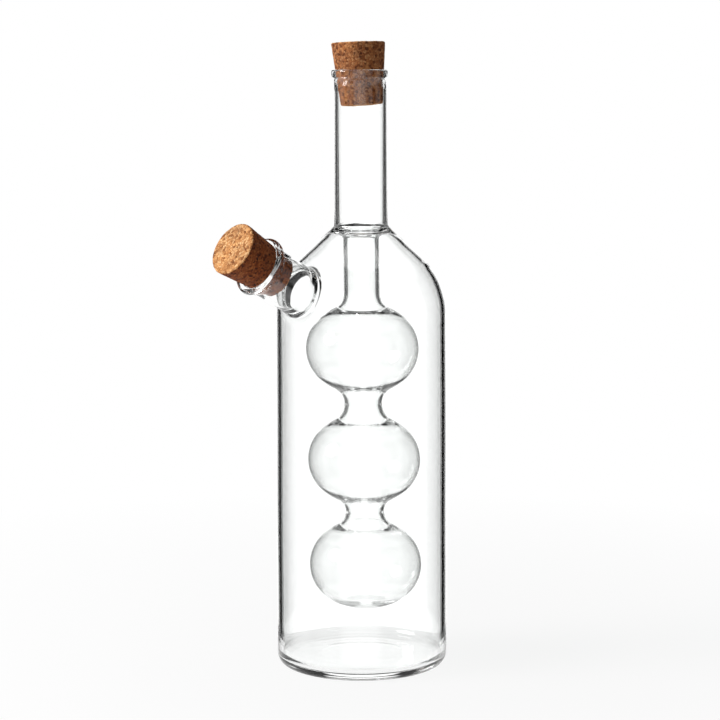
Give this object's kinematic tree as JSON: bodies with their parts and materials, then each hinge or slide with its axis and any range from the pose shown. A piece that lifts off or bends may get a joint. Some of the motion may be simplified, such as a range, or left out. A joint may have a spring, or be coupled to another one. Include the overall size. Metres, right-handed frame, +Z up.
{
  "type": "oil and vinegar bottle",
  "caption": "Clear glass oil and vinegar bottle: an outer chamber round a hanging inner vessel of bulbs, with a corked upright neck and a corked slanting side spout.",
  "frame": {"origin": "centre of the base, on the surface the bottle stands on", "axes": "+Z up along the neck; the side spout points towards -X and upwards, in the XZ plane"},
  "size_m": [0.1144, 0.075, 0.2766],
  "materials": {
    "clear_glass": "clear, smooth blown glass",
    "cork": "ground cork, matt, with dark flecks and small pits"
  },
  "bodies": {
    "root": {"glass_bottle": "clear_glass", "neck_cork": "cork", "spout_cork": "cork"}
  },
  "joints": []
}
